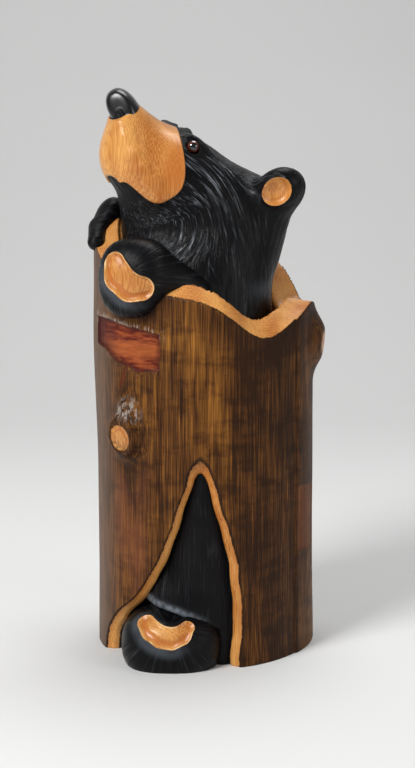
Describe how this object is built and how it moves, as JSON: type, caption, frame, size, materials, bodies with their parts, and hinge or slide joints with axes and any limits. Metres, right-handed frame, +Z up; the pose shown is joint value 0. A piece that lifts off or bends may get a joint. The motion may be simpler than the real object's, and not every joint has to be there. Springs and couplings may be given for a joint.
{
  "type": "chainsaw carved bear in a hollow log",
  "caption": "Carved wooden bear looking up out of a hollow log, its front paws over the rim and a foot showing in an opening at the log's base.",
  "frame": {"origin": "on the flat underside, where the axis of the log meets the ground", "axes": "+Z up along the log's axis, -Y towards the viewer's side with the opening and the foot, +X to the viewer's right"},
  "size_m": [0.1732, 0.1718, 0.4022],
  "materials": {
    "carved_wood": "log stained brown, cut edges and muzzle clear lacquered, fur painted satin black",
    "eye_glass": "dark brown glass, polished"
  },
  "bodies": {
    "root": {"carved_bear_log": "carved_wood", "glass_eye_near": "eye_glass", "glass_eye_far": "eye_glass"}
  },
  "joints": []
}
